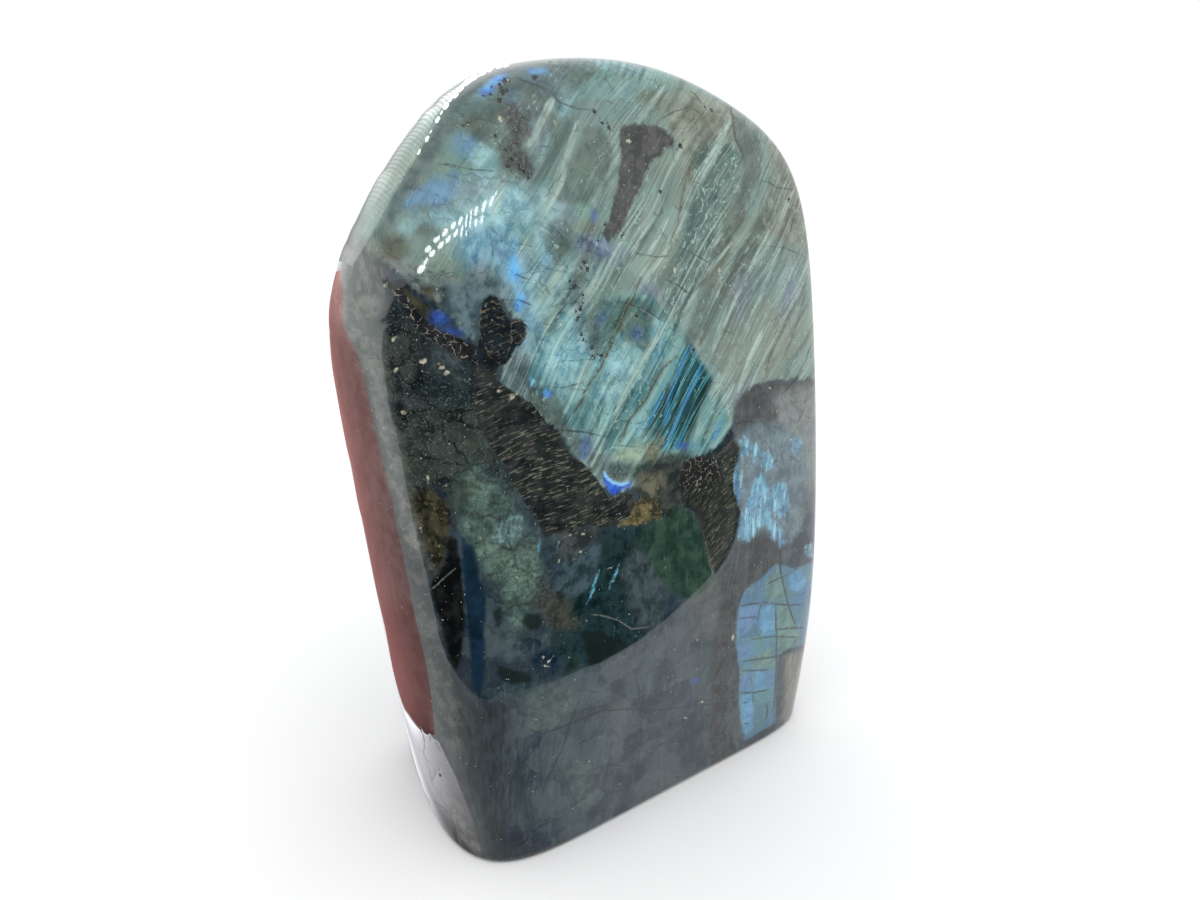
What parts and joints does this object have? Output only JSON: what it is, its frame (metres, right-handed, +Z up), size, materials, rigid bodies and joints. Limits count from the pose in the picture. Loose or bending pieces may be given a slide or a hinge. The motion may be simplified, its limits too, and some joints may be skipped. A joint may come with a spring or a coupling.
{
  "type": "labradorite freeform",
  "caption": "Polished labradorite freeform that stands on its sawn flat base as a display stone.",
  "frame": {"origin": "bottom centre of the stone's bounding box, in the plane of the sawn base", "axes": "+Z up from the sawn base along the height; the broad convex face looks along -Y; +X is to the right of a viewer facing the broad face; +Y is through the thickness, to the back"},
  "size_m": [0.1221, 0.0655, 0.1718],
  "materials": {
    "labradorite": "high polish over grey-green labradorite with slanting silver-teal and blue flashes, black ilmenite patches and fine healed cracks"
  },
  "bodies": {
    "root": {"labradorite_freeform": "labradorite"}
  },
  "joints": []
}
